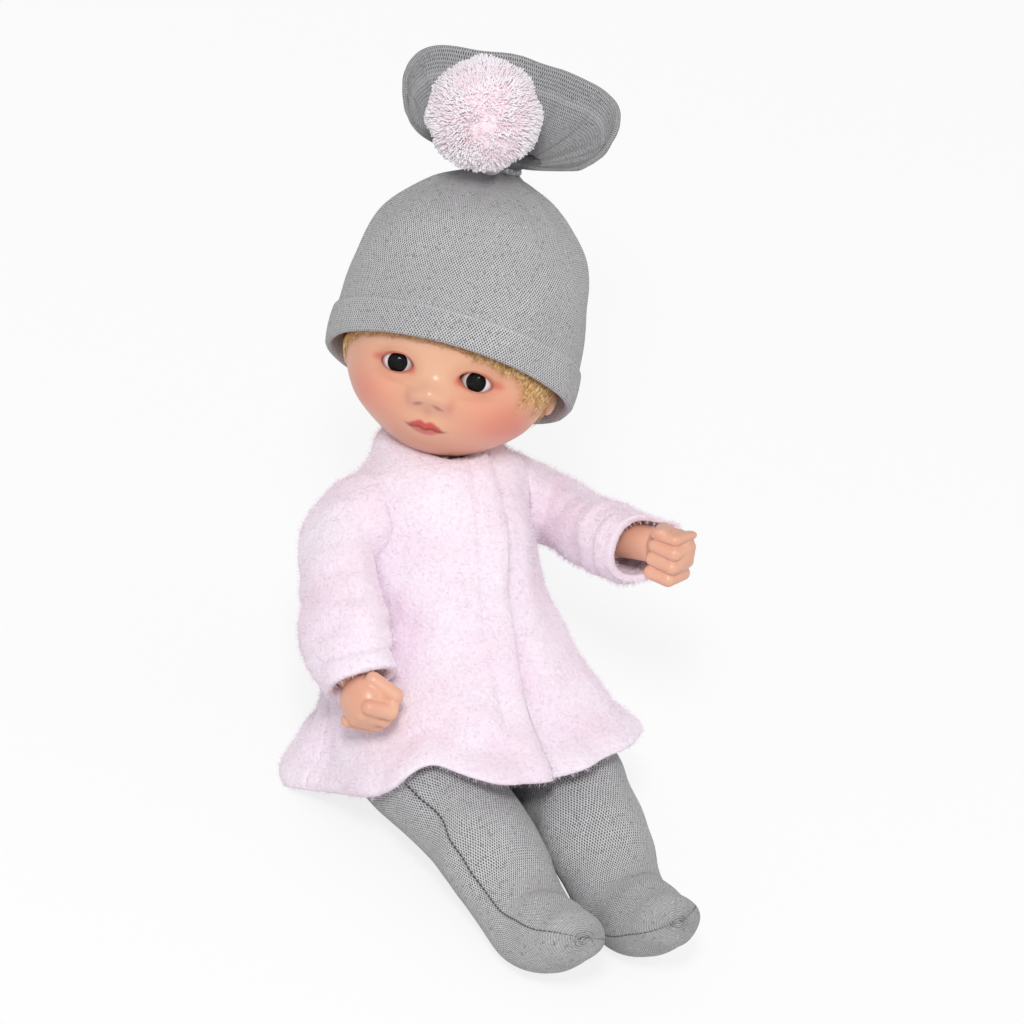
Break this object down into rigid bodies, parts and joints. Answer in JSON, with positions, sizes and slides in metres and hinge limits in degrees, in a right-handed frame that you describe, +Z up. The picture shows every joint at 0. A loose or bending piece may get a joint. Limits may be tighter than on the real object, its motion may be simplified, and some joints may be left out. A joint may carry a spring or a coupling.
{
  "type": "baby doll",
  "caption": "Sitting vinyl baby doll in a knitted hat with a pompom, a fleece jacket and footed knitted trousers; its head, arms and legs turn.",
  "frame": {"origin": "middle of the bounding box, on the surface that the doll sits on", "axes": "+Z up, -Y the way the doll's body faces, +X the doll's left"},
  "size_m": [0.0984, 0.1786, 0.1793],
  "materials": {
    "vinyl": "soft vinyl, satin, rosy cheeks",
    "fleece": "pale pink brushed fleece",
    "knit": "heather grey fine rib knit",
    "yarn": "pale pink cut yarn",
    "hair": "blond fibre",
    "eye_white": "gloss",
    "eye_dark": "gloss",
    "eye_clear": "clear gloss",
    "closure": "hook and loop tape",
    "elastic": "woven elastic"
  },
  "bodies": {
    "torso": {"torso_shell": "vinyl", "jacket_back": "fleece", "jacket_front_right": "fleece", "jacket_front_left": "fleece", "closure_hook_strip": "closure", "closure_loop_strip": "closure", "trouser_seat": "knit", "waist_elastic": "elastic"},
    "head": {"head_shell": "vinyl", "eye_ball_right": "eye_white", "eye_ball_left": "eye_white", "iris_right": "eye_dark", "iris_left": "eye_dark", "cornea_right": "eye_clear", "cornea_left": "eye_clear", "hair": "hair", "hat": "knit", "hat_tie": "knit", "pompom": "yarn", "pompom_binding": "yarn"},
    "right_arm": {"arm_right": "vinyl", "sleeve_right": "fleece"},
    "left_arm": {"arm_left": "vinyl", "sleeve_left": "fleece"},
    "right_leg": {"leg_right": "vinyl", "trouser_leg_right": "knit"},
    "left_leg": {"leg_left": "vinyl", "trouser_leg_left": "knit"}
  },
  "joints": [
    {"name": "head_turn", "type": "hinge", "parent": "torso", "child": "head", "pos_m": [0, 0.03845, 0.07809], "axis": [0, 0.1045, 0.9945], "range_deg": [-32, 118]},
    {"name": "right_shoulder", "type": "hinge", "parent": "torso", "child": "right_arm", "pos_m": [0, 0.03055, 0.063], "axis": [-1, 0, 0], "range_deg": [-24, 85], "deforming": ["sleeve_right"]},
    {"name": "left_shoulder", "type": "hinge", "parent": "torso", "child": "left_arm", "pos_m": [0, 0.03055, 0.063], "axis": [-1, 0, 0], "range_deg": [-60, 40], "deforming": ["sleeve_left"]},
    {"name": "right_hip", "type": "hinge", "parent": "torso", "child": "right_leg", "pos_m": [0, 0.00171, 0.015], "axis": [-1, 0, 0], "range_deg": [-52, 20], "deforming": ["trouser_leg_right", "jacket_front_right", "jacket_front_left"]},
    {"name": "left_hip", "type": "hinge", "parent": "torso", "child": "left_leg", "pos_m": [0, 0.00171, 0.015], "axis": [-1, 0, 0], "range_deg": [-52, 20], "deforming": ["trouser_leg_left", "jacket_front_right", "jacket_front_left"]}
  ]
}
